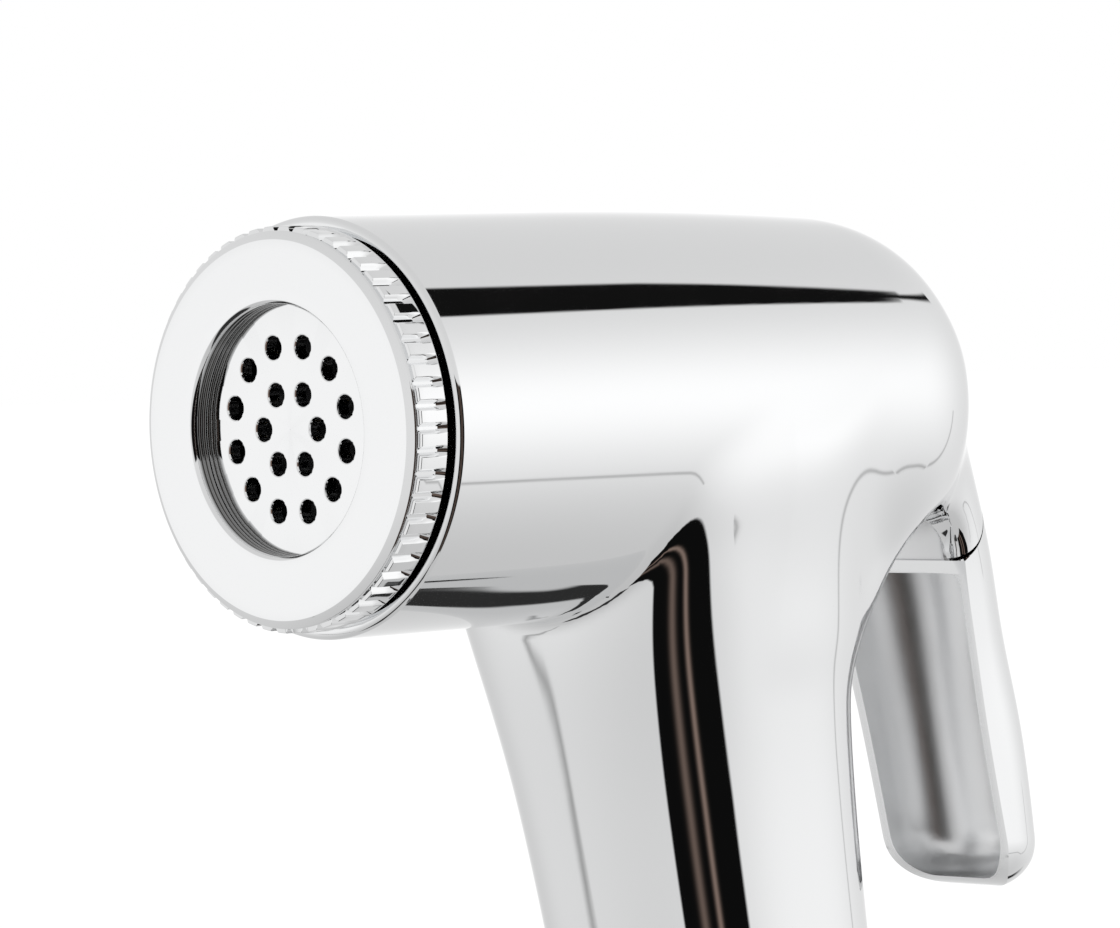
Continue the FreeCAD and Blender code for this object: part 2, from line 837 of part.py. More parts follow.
PIECES = {
    "body": body,
    "face_ring": face_ring,
    "spray_plate": spray_plate,
    "plate_gasket": plate_gasket,
    "stream_disc": stream_disc,
    "ring_seal": ring_seal,
    "valve_body": valve_body,
    "shell_o_rings": shell_o_rings,
    "valve_seat": valve_seat,
    "seat_o_ring": seat_o_ring,
    "poppet": poppet,
    "poppet_washer": poppet_washer,
    "poppet_screw": poppet_screw,
    "valve_stem": valve_stem,
    "valve_spring": valve_spring,
    "gland_bush": gland_bush,
    "gland_outer_ring": gland_outer_ring,
    "gland_inner_ring": gland_inner_ring,
    "stem_washer": stem_washer,
    "stem_nut": stem_nut,
    "lever": lever,
    "lever_bush": lever_bush,
    "pivot_pin": pivot_pin,
    "pin_plug": pin_plug,
    "riser_tube": riser_tube,
    "riser_upper_ring": lambda: riser_o_ring(riser_groove_top),
    "riser_lower_ring": lambda: riser_o_ring(nipple_top + nipple_groove_depth),
    "inlet_nipple": inlet_nipple,
    "nipple_o_ring": nipple_o_ring,
    "filter_screen": filter_screen,
    "check_cage": check_cage,
    "check_guide": check_guide,
    "check_poppet": check_poppet,
    "check_spring": check_spring,
}

# The inlet's end face, in the frame that the pieces are modelled in, becomes the origin
inlet_y = handle_axis_y + inlet_end * math.sin(lean)
inlet_z = -inlet_end * math.cos(lean)

os.makedirs("parts", exist_ok=True)
for name, make in PIECES.items():
    made = make()
    solids = made if isinstance(made, list) else made.Solids
    piece = Part.makeCompound(solids) if len(solids) > 1 else solids[0]
    piece.translate(vec(0, -inlet_y, -inlet_z))
    if not piece.isValid():
        print("not valid:", name)
    piece.exportStep(os.path.join("parts", name + ".step"))
    print(name, len(solids), round(piece.Volume, 2))
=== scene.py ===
import bpy
import numpy as np
from mathutils import Matrix


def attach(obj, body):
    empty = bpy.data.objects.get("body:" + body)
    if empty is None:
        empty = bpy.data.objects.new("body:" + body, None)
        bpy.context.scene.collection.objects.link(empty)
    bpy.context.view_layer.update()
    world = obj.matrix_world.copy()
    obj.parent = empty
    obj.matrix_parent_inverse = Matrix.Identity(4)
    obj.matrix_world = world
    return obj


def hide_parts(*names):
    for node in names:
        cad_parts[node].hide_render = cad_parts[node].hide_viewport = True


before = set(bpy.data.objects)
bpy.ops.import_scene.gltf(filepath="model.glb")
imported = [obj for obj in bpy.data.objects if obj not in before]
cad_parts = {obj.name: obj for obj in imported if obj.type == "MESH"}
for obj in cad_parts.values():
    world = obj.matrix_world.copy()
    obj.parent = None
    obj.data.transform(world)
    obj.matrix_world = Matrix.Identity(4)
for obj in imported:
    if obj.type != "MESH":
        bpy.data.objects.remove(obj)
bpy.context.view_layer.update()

# The studio: the handset stands on a pale floor inside a light tent. The camera looks at its head from the
# height of the barrel. The tent is seen only in the chrome, as soft panels with a few dark gaps between them.
scene = bpy.context.scene
scene.view_settings.view_transform = "Standard"

camera_data = bpy.data.cameras.new("camera")
camera_data.sensor_width = 36.0
camera_data.lens = 192.857
camera_data.clip_end = 20.0
camera = bpy.data.objects.new("camera", camera_data)
camera.matrix_world = Matrix((
    (0.70077468, 0.00253245, 0.71337818, 0.356092),
    (0.71264054, 0.04311637, -0.70020314, -0.377746),
    (-0.03253151, 0.99906685, 0.02841014, 0.129520),
    (0, 0, 0, 1),
))
scene.collection.objects.link(camera)
scene.camera = camera


def new_mesh(name, points, faces):
    """Mesh object from an (n, 3) array of points in metres and an (m, k) array of corner numbers."""
    mesh = bpy.data.meshes.new(name)
    mesh.vertices.add(len(points))
    mesh.vertices.foreach_set("co", np.asarray(points, np.float32).ravel())
    sides = faces.shape[1]
    mesh.loops.add(faces.size)
    mesh.loops.foreach_set("vertex_index", np.asarray(faces, np.int32).ravel())
    mesh.polygons.add(len(faces))
    mesh.polygons.foreach_set("loop_start", np.arange(0, faces.size, sides, dtype=np.int32))
    mesh.polygons.foreach_set("use_smooth", np.ones(len(faces), bool))
    mesh.update(calc_edges=True)
    mesh.validate()
    made = bpy.data.objects.new(name, mesh)
    scene.collection.objects.link(made)
    return made


def grid_faces(rows, columns, close_rows=False, close_columns=False):
    """Quads between neighbours of a rows x columns grid of points, closed on itself where asked."""
    i = np.arange(rows if close_rows else rows - 1)[:, None]
    j = np.arange(columns if close_columns else columns - 1)[None, :]
    k, l = (i + 1) % rows, (j + 1) % columns
    corners = [i * columns + j, k * columns + j, k * columns + l, i * columns + l]
    return np.stack([np.broadcast_to(c, (i.size, j.size)).ravel() for c in corners], 1)


def new_material(name):
    """Empty node material: its node tree, a function that adds a node, and its Principled shader."""
    material = bpy.data.materials.new(name)
    material.use_nodes = True
    tree = material.node_tree
    shader = tree.nodes["Principled BSDF"]

    def add(kind, **settings):
        node = tree.nodes.new(kind)
        for key, value in settings.items():
            if key in node.inputs:
                node.inputs[key].default_value = value
            else:
                setattr(node, key, value)
        return node

    return material, tree, add, shader


def tent_light(azimuth, elevation):
    """Brightness of the tent by direction in degrees, and how much of it is warm: soft side panels, grey below,
    the opening for the camera, and dark gaps."""
    a, b, e = azimuth, azimuth % 360, elevation

    def turn(at):
        """Degrees from the azimuth at, from -180 to 180."""
        return (a - at + 180) % 360 - 180

    def step(value, width=1.0):
        """0 below zero and 1 above it, with a soft edge of the width."""
        return np.clip(value / width + 0.5, 0, 1)

    def panel(at, height, half_width, half_height):
        """1 in the direction (at, height), fading over the half widths."""
        return np.exp(-(turn(at) / half_width) ** 2 - ((e - height) / half_height) ** 2)

    light = 0.66 + 0.10 * np.exp(-(e / 40) ** 2)
    light += 0.30 * panel(136, 7, 34, 24)
    light += 0.34 * panel(-134, 2, 14, 14)
    light += 0.20 * panel(-45, -2, 25, 12)
    light -= 0.12 * step(-e - 34, 30)
    light -= 0.10 * panel(-100, -12, 25, 20)
    # The opening that the camera looks through, with two warm stripes in it
    opening = step(33.8 - np.abs(turn(69.5)), 2.0) * step(18 - e) * step(e + 62)
    stripes = 0.16 * np.exp(-(turn(76.5) / 2.5) ** 2) + 0.10 * np.exp(-(turn(60) / 4) ** 2)
    light = light * (1 - opening) + (0.004 + stripes) * opening
    # The dark edge of the table in front of the handset
    table_edge = step(50 - np.abs(turn(-20)), 4) * step(7 - np.abs(e + 63), 2)
    light = light * (1 - 0.95 * table_edge)
    # The dark strip that hangs slanting across the back of the tent: a block between slanting lines, and a thin
    # tail that runs on down from it
    left, low, top = 120.3 - 0.53 * b, 33.9 + 0.367 * (b - 163), 44.5 + 0.407 * (b - 153)
    block = step(168.5 - b, 1.5) * step(e - left) * step(top - e) * step(e - low)
    tail_middle = 35 - 0.605 * (b - 166)
    tail = step(1.2 - np.abs(e - tail_middle)) * step(b - 165) * step(188 - b)
    strip = np.maximum(block, tail)
    light = light * (1 - strip) + 0.006 * strip
    # Narrow gaps between panels: one low at the back, a level seam that ends in an arc, and a short seam
    low_gap = step(5 - np.abs(turn(-166)), 3) * step(-e - 30, 10)
    level_seam = 0.45 * np.exp(-((e + 23.5 + 0.05 * (a - 140)) / 0.5) ** 2) * (np.abs(turn(140)) < 16)
    from_arc = (np.hypot((b - 148) / 20, (e + 5) / 20) - 1) * 20
    arc_seam = 0.40 * np.exp(-(from_arc / 0.7) ** 2) * (b > 156) * (e < -4)
    short_seam = 0.55 * np.exp(-((a + 49.5) / 0.6) ** 2) * (e < -15) * (e > -40)
    light = light * (1 - 0.97 * low_gap) * (1 - np.maximum(level_seam, arc_seam)) * (1 - short_seam)
    return light, opening * stripes


tent_radius, tent_height = 3.0, 0.11
tent_azimuth, tent_elevation = np.meshgrid(np.arange(-180, 180, 0.5), np.arange(-89.75, 90, 0.5))
a, e = np.radians(tent_azimuth).ravel(), np.radians(tent_elevation).ravel()
tent_ways = np.stack([np.cos(e) * np.sin(a), -np.cos(e) * np.cos(a), np.sin(e)], 1)
tent = new_mesh("light_tent", tent_radius * tent_ways + [0, 0, tent_height],
                grid_faces(*tent_azimuth.shape, close_columns=True))
light, warm = tent_light(tent_azimuth.ravel(), tent_elevation.ravel())
colour = [light + 0.25 * warm, light - 0.1 * warm, light - 0.25 * warm, np.ones_like(light)]
paint = tent.data.attributes.new("panels", "FLOAT_COLOR", "POINT")
paint.data.foreach_set("color", np.stack(colour, 1).ravel())
tent_material, tree, add, shader = new_material("tent_panels")
panels = add("ShaderNodeAttribute", attribute_name="panels")
glow = add("ShaderNodeEmission", Strength=1.0)
tree.links.new(panels.outputs["Color"], glow.inputs["Color"])
tree.links.new(glow.outputs[0], tree.nodes["Material Output"].inputs["Surface"])
tent.data.materials.append(tent_material)
tent.visible_camera = tent.visible_diffuse = tent.visible_shadow = tent.visible_transmission = False

floor_side, floor_level = np.linspace(-6, 6, 3), -0.0002
floor_x, floor_y = np.meshgrid(floor_side, floor_side)
floor_points = np.stack([floor_x, floor_y, np.full_like(floor_x, floor_level)], 2).reshape(-1, 3)
floor = new_mesh("floor", floor_points, grid_faces(3, 3)[:, ::-1])
floor.visible_glossy = False
floor_material, tree, add, shader = new_material("floor_paper")
shader.inputs["Base Color"].default_value = (0.83, 0.83, 0.83, 1)
shader.inputs["Roughness"].default_value = 0.9
shader.inputs["Specular IOR Level"].default_value = 0.0
# The paper is lifted to white where it is seen, and lights the handset as plain paper
path = add("ShaderNodeLightPath")
lift = add("ShaderNodeEmission", Color=(1, 1, 1, 1), Strength=0.22)
lifted = add("ShaderNodeAddShader")
pick = add("ShaderNodeMixShader")
tree.links.new(shader.outputs[0], lifted.inputs[0])
tree.links.new(lift.outputs[0], lifted.inputs[1])
seen = [add("ShaderNodeMath", operation="MAXIMUM"), add("ShaderNodeMath", operation="MAXIMUM")]
tree.links.new(path.outputs["Is Camera Ray"], seen[0].inputs[0])
tree.links.new(path.outputs["Is Glossy Ray"], seen[0].inputs[1])
tree.links.new(seen[0].outputs[0], seen[1].inputs[0])
tree.links.new(path.outputs["Is Transmission Ray"], seen[1].inputs[1])
tree.links.new(seen[1].outputs[0], pick.inputs[0])
tree.links.new(shader.outputs[0], pick.inputs[1])
tree.links.new(lifted.outputs[0], pick.inputs[2])
tree.links.new(pick.outputs[0], tree.nodes["Material Output"].inputs["Surface"])
floor.data.materials.append(floor_material)

world = bpy.data.worlds.new("studio")
scene.world = world
world.use_nodes = True
world.node_tree.nodes["Background"].inputs["Color"].default_value = (1, 1, 1, 1)
world.node_tree.nodes["Background"].inputs["Strength"].default_value = 1.0


# Body: barrel, handle and rear housing are one brass casting, ground and polished so that each flows into the
# next, then chrome plated. The finger slot is cast with a wide fillet. The bore, the mouth, the lever's room and
# the round seam over it are machined. Lengths are in millimetres: X across, Y back from the face along the
# barrel's axis, Z up from it.
millimetre = 0.001
handle_y, lean, inlet_depth, handle_end = 40, np.radians(9.4), 121.0, 105
head_place = np.array([0, -handle_y - inlet_depth * np.sin(lean), inlet_depth * np.cos(lean)])
barrel_radius, mouth_y = 17, 4.1
pivot_y, pivot_z, seam_radius = 68.0, -5.0, 10.0
# Down the handle's axis, half width, half depth
handle_sections = [(0, 17.2, 14.0), (4, 16.8, 14.2), (10, 15.9, 14.6), (16, 14.9, 14.8), (22, 14.0, 14.5),
                   (30, 13.0, 13.9), (45, 12.0, 13.1), (72, 11.5, 12.3), (handle_end, 11.6, 11.9)]
# Z, half width at Y 48, half width where the round back starts, Y of the back
tail_sections = [(10, 12, 9.5, 69), (6, 14, 12, 73), (0, 15, 12, 75.9), (-7, 14, 10, 78.7), (-14, 12.5, 8.2, 81.3),
                 (-21, 11.5, 7.7, 82.7), (-28, 7.7, 7.6, 84), (-41.4, 7.5, 7.4, 86.1)]


def between_rows(table, at):
    """Natural cubic spline through the rows (place, value, value ...) of a table, held level outside it."""
    rows = np.array(sorted(table), float)
    place, values = rows[:, 0], rows[:, 1:]
    gap = np.diff(place)
    count = len(place)
    matrix, right = np.eye(count), np.zeros_like(values)
    for i in range(1, count - 1):
        matrix[i, i - 1:i + 2] = gap[i - 1], 2 * (gap[i - 1] + gap[i]), gap[i]
        right[i] = 6 * ((values[i + 1] - values[i]) / gap[i] - (values[i] - values[i - 1]) / gap[i - 1])
    bend = np.linalg.solve(matrix, right)
    at = np.clip(at, place[0], place[-1])
    i = np.clip(np.searchsorted(place, at) - 1, 0, count - 2)
    h, t = gap[i], at - place[i]
    made = []
    for v, b in zip(values.T, bend.T):
        slope = (v[i + 1] - v[i]) / h - h * (2 * b[i] + b[i + 1]) / 6
        made.append(v[i] + slope * t + b[i] * t ** 2 / 2 + (b[i + 1] - b[i]) / (6 * h) * t ** 3)
    return made


def soft_min(a, b, reach):
    """The smaller of two distances, with a smooth fillet where they differ by less than reach."""
    near = np.maximum(reach - np.abs(a - b), 0) / reach
    return np.minimum(a, b) - reach * near ** 3 / 6


def soft_max(a, b, reach):
    """The larger of two distances, with a smooth round where they differ by less than reach."""
    return -soft_min(-a, -b, reach)


def barrel_gap(x, y, z):
    """Distance outside the barrel: radius 17, falling by 1 to Y = 62, with a superelliptic end from 59 to 72.2."""
    end_y, end_length, power = 59, 13.2, 2.6
    radius = barrel_radius - np.clip((y - 28) / 34, 0, None) ** 2
    beyond = np.clip((y - end_y) / end_length, 0, None)
    return radius * (((np.hypot(x, z) / radius) ** power + beyond ** power) ** (1 / power) - 1)


def handle_gap(x, y, z):
    """Distance outside the handle: superelliptic sections across an axis leaning 9.4 degrees, of power 3.8 at the
    top and 2.6 from 32 below."""
    down = (y - handle_y) * np.sin(lean) - z * np.cos(lean)
    across = (y - handle_y) * np.cos(lean) + z * np.sin(lean)
    w, h = between_rows(handle_sections, down)
    power = 2.6 + 1.2 * np.clip(1 - down / 32, 0, 1) ** 2
    side = w * (((np.abs(x) / w) ** power + (np.abs(across) / h) ** power) ** (1 / power) - 1)
    return soft_max(soft_max(side, 3 - down, 6.0), down - handle_end, 1.2)


def tail_gap(x, y, z):
    """Distance outside the tail: sides that slant in from the front line, a round back, soft ends in the barrel."""
    front, rear_width, rear = between_rows(tail_sections, z)
    depth = 0.9 * rear_width
    start = rear - depth
    width = np.maximum(front + (rear_width - front) * (y - 48) / (start - 48), 1.0)
    beyond = np.clip((y - start) / depth, 0, None)
    side = width * (np.hypot(x / width, beyond) - 1)
    return soft_max(soft_max(side, 42 - y, 8.0), 0.82 * (z - 9) - 0.57 * (y - 66), 6.0)


def housing_gap(x, y, z):
    """Distance outside the barrel and the tail together."""
    return soft_min(barrel_gap(x, y, z), tail_gap(x, y, z), 4.0)


def corner_gap(y, z, corner, first, last, radius):
    """Distance in the Y-Z plane outside a corner between two straight edges, rounded by a true arc. The edges are
    given by the directions that they face, in degrees."""
    first, last = np.radians(first), np.radians(last)
    ways = np.array([np.cos(first) + np.cos(last), np.sin(first) + np.sin(last)])
    centre = np.array(corner) - radius * ways / (1 + np.cos(last - first))
    middle, half = (first + last) / 2, abs(last - first) / 2
    turn = (np.arctan2(z - centre[1], y - centre[0]) - middle + np.pi) % (2 * np.pi) - np.pi
    angle = middle + np.clip(turn, -half, half)
    return (y - centre[0]) * np.cos(angle) + (z - centre[1]) * np.sin(angle) - radius


def slot_gap(y, z):
    """Distance in the Y-Z plane outside the finger slot: the lever's rim, the arch at its top, the slanting edge,
    the round kink, and the handle's rear edge."""
    arch = corner_gap(y, z, (69.93, -4.2), 12.7, 142.1, 4.59)
    kink = corner_gap(y, z, (57, -20.8), 142.1, 190.8, 6.0)
    return np.maximum(arch, kink)


def body_gap(x, y, z):
    """Distance outside the casting: barrel, tail down to the lever, handle, and the slot with its wide fillet. The
    handle's fillet grows from 1.5 in front to 5 behind."""
    housing = soft_min(barrel_gap(x, y, z), soft_max(tail_gap(x, y, z), -22.0 - z, 6.0), 4.0)
    whole = soft_min(housing, handle_gap(x, y, z), 1.5 + 3.5 * np.clip((y - 30) / 12, 0, 1))
    return np.maximum(soft_max(whole, -slot_gap(y, z), 4.0), 3 - y)


def slope_of(gap, points):
    """Outward direction and rate of a distance function at the points, from differences over 0.004 mm."""
    reach = 2e-3
    change = np.stack([gap(*(points + o).T) - gap(*(points - o).T) for o in np.eye(3) * reach], 1)
    length = np.linalg.norm(change, axis=1)
    return change / length[:, None], length / (2 * reach)


def cast_skin(gap, low, high, step):
    """Surface where gap(x, y, z) is zero, in millimetres: one point in each cell of a cubic grid that the surface
    crosses, a face round each grid edge that it crosses, evened out and carried onto the surface along its slope."""
    x, y, z = np.meshgrid(*[np.arange(a, b, step) for a, b in zip(low, high)], indexing="ij")
    inside = gap(x, y, z) < 0
    ends = (slice(None, -1), slice(1, None))
    corners = sum(inside[i, j, k].astype(np.int8) for i in ends for j in ends for k in ends)
    crossed = (corners > 0) & (corners < 8)
    number = np.cumsum(crossed.ravel()).reshape(crossed.shape) - 1
    points = np.argwhere(crossed) * step + np.array(low) + step / 2
    quads = []
    for axis in range(3):
        grid, cell = np.moveaxis(inside, axis, 0), np.moveaxis(number, axis, 0)
        i, j, k = np.nonzero(grid[:-1, 1:-1, 1:-1] != grid[1:, 1:-1, 1:-1])
        quad = np.stack([cell[i, j, k], cell[i, j + 1, k], cell[i, j + 1, k + 1], cell[i, j, k + 1]], 1)
        forward = grid[i, j + 1, k + 1] == (axis != 1)
        quads.append(np.where(forward[:, None], quad, quad[:, ::-1]))
    quads = np.concatenate(quads)
    uses = np.bincount(quads.ravel(), minlength=len(points))
    for _ in range(6):
        centres = np.repeat(points[quads].mean(1), 4, axis=0)
        points = np.stack([np.bincount(quads.ravel(), centres[:, k], len(points)) / uses for k in range(3)], 1)
        for _ in range(3):
            way, rate = slope_of(gap, points)
            points = points - way * (gap(*points.T) / rate)[:, None]
    return points, quads


def in_row(points):
    """Millimetres in the frame of the barrel's axis and face, to metres in the model's frame."""
    return (np.asarray(points) + head_place) * millimetre


def points_of(mesh):
    """The mesh's points, back in millimetres in the frame of the barrel's axis and face."""
    place = np.empty(3 * len(mesh.vertices))
    mesh.vertices.foreach_get("co", place)
    return place.reshape(-1, 3) / millimetre - head_place


def turned_solid(name, profile, count, x=0.0, z=0.0):
    """Closed solid of revolution from (along, radius) rows, round the barrel's axis or one beside it."""
    profile = np.array(profile, float)
    angle = np.linspace(0, 2 * np.pi, count, endpoint=False)
    along, radius = profile[:, :1], profile[:, 1:]
    points = np.stack(np.broadcast_arrays(x + radius * np.cos(angle), along, z + radius * np.sin(angle)), 2)
    faces = grid_faces(len(profile), count, close_rows=True, close_columns=True)
    return new_mesh(name, in_row(points.reshape(-1, 3)), faces)


def side_cutter(name, outline, half_width):
    """Closed solid from an outline in the Y-Z plane, drawn out to half_width on both sides, with flat ends."""
    y, z = np.asarray(outline, float).T
    if (y * np.roll(z, -1) - np.roll(y, -1) * z).sum() < 0:
        y, z = y[::-1], z[::-1]
    count = len(y)
    points = np.concatenate([np.column_stack([np.full(count, x), y, z]) for x in (-half_width, half_width)])
    faces = [*grid_faces(2, count, close_columns=True)[:, ::-1].tolist(), list(range(count))[::-1],
             list(range(count, 2 * count))]
    mesh = bpy.data.meshes.new(name)
    mesh.from_pydata(in_row(points), [], faces)
    made = bpy.data.objects.new(name, mesh)
    scene.collection.objects.link(made)
    return made


def arc(centre, radius, first, last, count):
    """Points on an arc in a plane, from one angle to another in degrees."""
    angle = np.radians(np.linspace(first, last, count))
    return np.column_stack([centre[0] + radius * np.cos(angle), centre[1] + radius * np.sin(angle)])


def cut(piece, cutters):
    """Takes the cutters' solids out of the piece for good and removes them. The cut leaves an empty material slot,
    which goes too."""
    for cutter in cutters:
        step = piece.modifiers.new("cut", "BOOLEAN")
        step.operation, step.object, step.solver = "DIFFERENCE", cutter, "MANIFOLD"
    made = bpy.data.meshes.new_from_object(piece.evaluated_get(bpy.context.evaluated_depsgraph_get()))
    piece.modifiers.clear()
    made.materials.clear()
    made.polygons.foreach_set("material_index", np.zeros(len(made.polygons), np.int32))
    piece.data = made
    for cutter in cutters:
        bpy.data.objects.remove(cutter)


def smooth_cast(piece, gap):
    """Shades the cast skin with the exact slope of its surface, and the machined faces by their angles. A face is
    skin where all its corners lie on the surface and it looks the way that the surface does."""
    mesh = piece.data
    mesh.polygons.foreach_set("use_smooth", np.ones(len(mesh.polygons), bool))
    mesh.set_sharp_from_angle(angle=np.radians(25))
    normals, flat = np.empty(3 * len(mesh.loops)), np.empty(3 * len(mesh.polygons))
    vertex, total = np.empty(len(mesh.loops), np.int32), np.empty(len(mesh.polygons), np.int32)
    mesh.corner_normals.foreach_get("vector", normals)
    mesh.loops.foreach_get("vertex_index", vertex)
    mesh.polygons.foreach_get("loop_total", total)
    mesh.polygons.foreach_get("normal", flat)
    points = points_of(mesh)
    way = slope_of(gap, points)[0][vertex]
    on_skin = np.abs(gap(*points.T))[vertex] < 0.02
    facing = (np.repeat(flat.reshape(-1, 3), total, axis=0) * way).sum(1) > 0.9
    owner = np.repeat(np.arange(len(total)), total)
    skin_face = np.bincount(owner, on_skin & facing, len(total)) == total
    normals = np.where(skin_face[owner][:, None], way, normals.reshape(-1, 3))
    mesh.normals_split_custom_set(normals)


def mark_satin(piece, where):
    """Marks the surfaces that were left unpolished: where(x, y, z) says it for points in millimetres."""
    satin = piece.data.attributes.new("satin", "FLOAT", "POINT")
    satin.data.foreach_set("value", where(*points_of(piece.data).T).astype(np.float32))


def in_hub_room(x, y, z):
    """True on the walls of the lever's room, which lie inside the casting's skin."""
    near = (np.abs(x) < 6.4) & (y > 64) & (z > -24) & (z < 5.2)
    return near & (body_gap(x, y, z) < -0.05)


points, quads = cast_skin(body_gap, (-19, 1, -107), (19, 87, 19.5), 0.52)
body = new_mesh("body_casting", in_row(points), quads)

far = 30.0
seam = np.vstack([arc((pivot_y, pivot_z), seam_radius, -90, 0, 36), [(120, pivot_z), (120, -130), (pivot_y, -130)]])
hub_room = [(64.9, 5), (73.6, 5), (74.1, 0), (76.9, -7), (78.5, -11), (78.5, -24), (69.2, -24), (69.2, -12.5),
            (65.6, -7.4), (64.9, -5)]
hub_half_width, bore_radius, rim_round = 6.3, 13.65, 0.6
front_edge = arc((mouth_y + rim_round, barrel_radius - rim_round), rim_round, 90, 180, 8)
front = [(1, 12), (1, 20), (mouth_y + rim_round, 20), *front_edge, (mouth_y, 12)]
bore = [(3, 0.001), (3, bore_radius), (54, bore_radius), (54, 2), (63, 2), (63, 0.001)]
cut(body, [side_cutter("seam_cutter", seam, far), side_cutter("hub_cutter", hub_room, hub_half_width),
           turned_solid("front_cutter", front, 256), turned_solid("bore_cutter", bore, 128)])
smooth_cast(body, body_gap)
mark_satin(body, in_hub_room)
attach(body, "handset")
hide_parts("body")

# The plating: bright chrome with a faint cloud in its polish. Its colour is darkened by painted shade where the mesh
# carries it, in the face ring's recess, and it is rougher where the mesh says satin.
plating = (0.93, 0.935, 0.94, 1)
chrome, tree, add, shader = new_material("polished_chrome")
shader.inputs["Base Color"].default_value = plating
shader.inputs["Metallic"].default_value = 1.0
place = add("ShaderNodeTexCoord")
cloud = add("ShaderNodeTexNoise", Scale=180.0, Detail=3.0)
spread = add("ShaderNodeMapRange", **{"From Min": 0.3, "From Max": 0.7, "To Min": 0.02, "To Max": 0.05})
wave = add("ShaderNodeTexNoise", Scale=70.0, Detail=1.0)
bump = add("ShaderNodeBump", Strength=0.5, Distance=0.00001)
tree.links.new(place.outputs["Object"], cloud.inputs["Vector"])
tree.links.new(place.outputs["Object"], wave.inputs["Vector"])
tree.links.new(cloud.outputs[0], spread.inputs[0])
# Painted shade: where the mesh carries it, the base colour goes towards near black, in the face ring's recess
recess_painted_shade = add("ShaderNodeAttribute", attribute_name="recess_painted_shade")
painted_shade_mix = add("ShaderNodeMix", data_type="RGBA")
painted_shade_mix.inputs[6].default_value = plating
painted_shade_mix.inputs[7].default_value = (0.05, 0.048, 0.045, 1)
tree.links.new(recess_painted_shade.outputs["Fac"], painted_shade_mix.inputs[0])
tree.links.new(painted_shade_mix.outputs[2], shader.inputs["Base Color"])
satin = add("ShaderNodeAttribute", attribute_name="satin")
unpolished = add("ShaderNodeMath", operation="MULTIPLY_ADD")
unpolished.inputs[1].default_value = 0.27
tree.links.new(satin.outputs["Fac"], unpolished.inputs[0])
tree.links.new(spread.outputs[0], unpolished.inputs[2])
tree.links.new(unpolished.outputs[0], shader.inputs["Roughness"])
tree.links.new(wave.outputs[0], bump.inputs["Height"])
tree.links.new(bump.outputs[0], shader.inputs["Normal"])
body.data.materials.append(chrome)


# Face ring: turned brass with a knurled band, screwed into the barrel's mouth by its skirt. The 56 teeth are
# straight and flat-topped, and stop short of the flange in front and of the band's rear. Two fine grooves run
# round the recess in front of the plate, whose wall is darkened with painted shade, most of all in the grooves.
def soften(corners, radius, count=5):
    """Closed profile whose corners are replaced by small arcs of the radius, less where a side is short."""
    corners = np.array(corners, float)
    before, after = np.roll(corners, 1, 0) - corners, np.roll(corners, -1, 0) - corners
    long_before, long_after = np.linalg.norm(before, axis=1), np.linalg.norm(after, axis=1)
    before, after = before / long_before[:, None], after / long_after[:, None]
    half = np.arccos(np.clip((before * after).sum(1), -1, 1)) / 2
    trim = np.minimum(radius / np.tan(half), 0.45 * np.minimum(long_before, long_after))[:, None, None]
    t = np.linspace(0, 1, count)[None, :, None]
    middle = corners[:, None]
    first, last = middle + trim * before[:, None], middle + trim * after[:, None]
    return ((1 - t) ** 2 * first + 2 * t * (1 - t) * middle + t ** 2 * last).reshape(-1, 2)


def fill_rows(profile, longest):
    """Adds points on a closed profile's sides so that none is longer than given."""
    ends = np.roll(profile, -1, 0)
    parts = np.maximum(np.ceil(np.linalg.norm(ends - profile, axis=1) / longest), 1).astype(int)
    rows = [a + (b - a) * np.arange(n)[:, None] / n for a, b, n in zip(profile, ends, parts)]
    return np.concatenate(rows)


tooth_count, crest_radius, tooth_depth = 56, 16.25, 0.45
opening_radius, groove_radius = 10.1, 10.26
ring_front = [(0.25, opening_radius), (0, 10.35), (0, 15.2), (0.35, 15.8), (0.5, 15.9), (0.56, 15.65), (0.7, 15.65)]
ring_band = [(0.75, crest_radius), (3.5, crest_radius)]
ring_skirt = [(3.5, 13.6), (10.5, 13.6), (10.5, 12.45), (1.5, 12.45)]
ring_recess = [(1.5, opening_radius), (1.28, opening_radius), (1.16, groove_radius), (1.04, opening_radius),
               (0.86, opening_radius), (0.74, groove_radius), (0.62, opening_radius)]
ring_profile = fill_rows(soften([*ring_front, *ring_band, *ring_skirt, *ring_recess], 0.1, 4), 0.8)
# Places across a tooth's pitch: from the middle of one crest, through a groove, to the next
half_tooth = [0.06, 0.12, 0.17, 0.22, 0.25, 0.28, 0.36]
in_tooth = np.array([-0.5, *[-p for p in half_tooth[::-1]], 0, *half_tooth])
place_in_pitch = np.tile(in_tooth, tooth_count)
ring_angle = 2 * np.pi * (np.repeat(np.arange(tooth_count), len(in_tooth)) + place_in_pitch) / tooth_count
tooth_radius = crest_radius - tooth_depth * np.clip((0.24 - np.abs(place_in_pitch)) / 0.17, 0, 1)
along, radius = ring_profile[:, :1], ring_profile[:, 1:]
banded = (along > 0.62) & (along < 3.35) & (radius > 15.3)
radius = np.where(banded, np.minimum(radius, tooth_radius), radius)
ring_points = np.stack(np.broadcast_arrays(radius * np.cos(ring_angle), along, radius * np.sin(ring_angle)), 2)
ring = new_mesh("face_ring_turned", in_row(ring_points.reshape(-1, 3)),
                grid_faces(len(ring_profile), len(ring_angle), close_rows=True, close_columns=True))
ring.data.set_sharp_from_angle(angle=np.radians(30))
# Painted shade on the recess wall in front of the plate: full in the two grooves, three quarters on the wall between
# them
in_recess = (along > 0.3) & (along < 1.5) & (radius < 10.5)
recess_shade_amount = np.where(in_recess, np.where(radius > 10.15, 1.0, 0.75), 0.0)
recess_painted_shade = ring.data.attributes.new("recess_painted_shade", "FLOAT", "POINT")
recess_painted_shade.data.foreach_set("value", recess_shade_amount.astype(np.float32).ravel())
ring.data.materials.append(chrome)
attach(ring, "ring")
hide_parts("face_ring")


